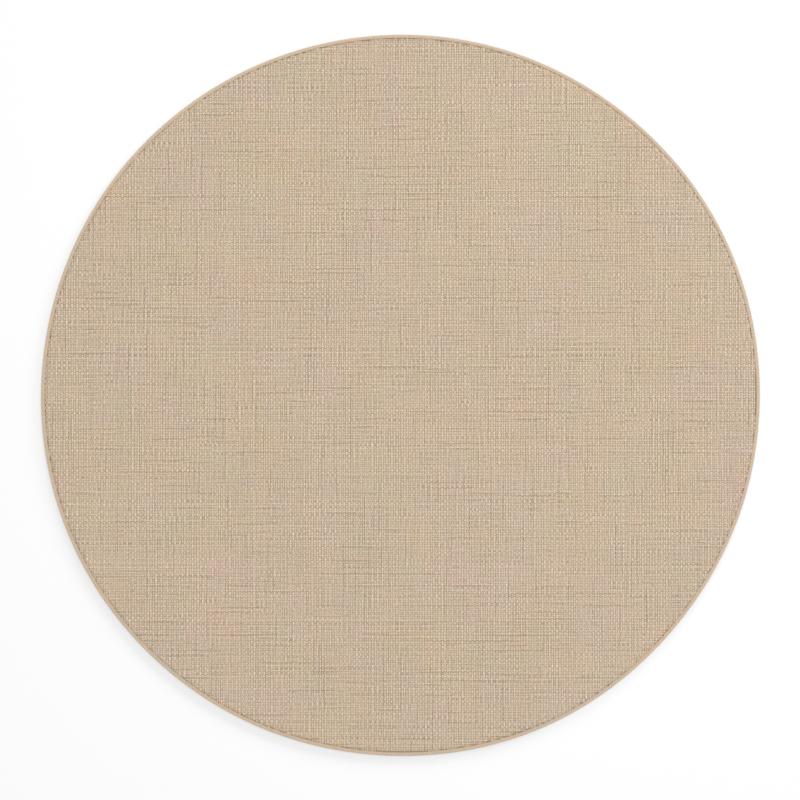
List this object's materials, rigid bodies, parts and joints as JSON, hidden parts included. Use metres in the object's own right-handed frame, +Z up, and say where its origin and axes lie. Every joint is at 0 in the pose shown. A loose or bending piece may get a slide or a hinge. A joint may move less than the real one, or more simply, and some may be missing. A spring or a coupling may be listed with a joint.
{
  "type": "round flat-woven sisal rug",
  "caption": "Round flat rug of plain-woven sisal with a narrow overcast yarn edge, lying flat on the floor to cover and protect it.",
  "frame": {"origin": "middle of the rug's box on its underside, at the floor it lies on", "axes": "+Z up out of the face, +Y along the upright yarns of the weave (warp), +X along the crossing yarns (weft)"},
  "size_m": [1.5968, 1.6022, 0.006],
  "materials": {
    "sisal_weave": "matte",
    "edge_yarn": "matte"
  },
  "bodies": {
    "root": {"woven_field": "sisal_weave", "overcast_edge": "edge_yarn"}
  },
  "joints": []
}
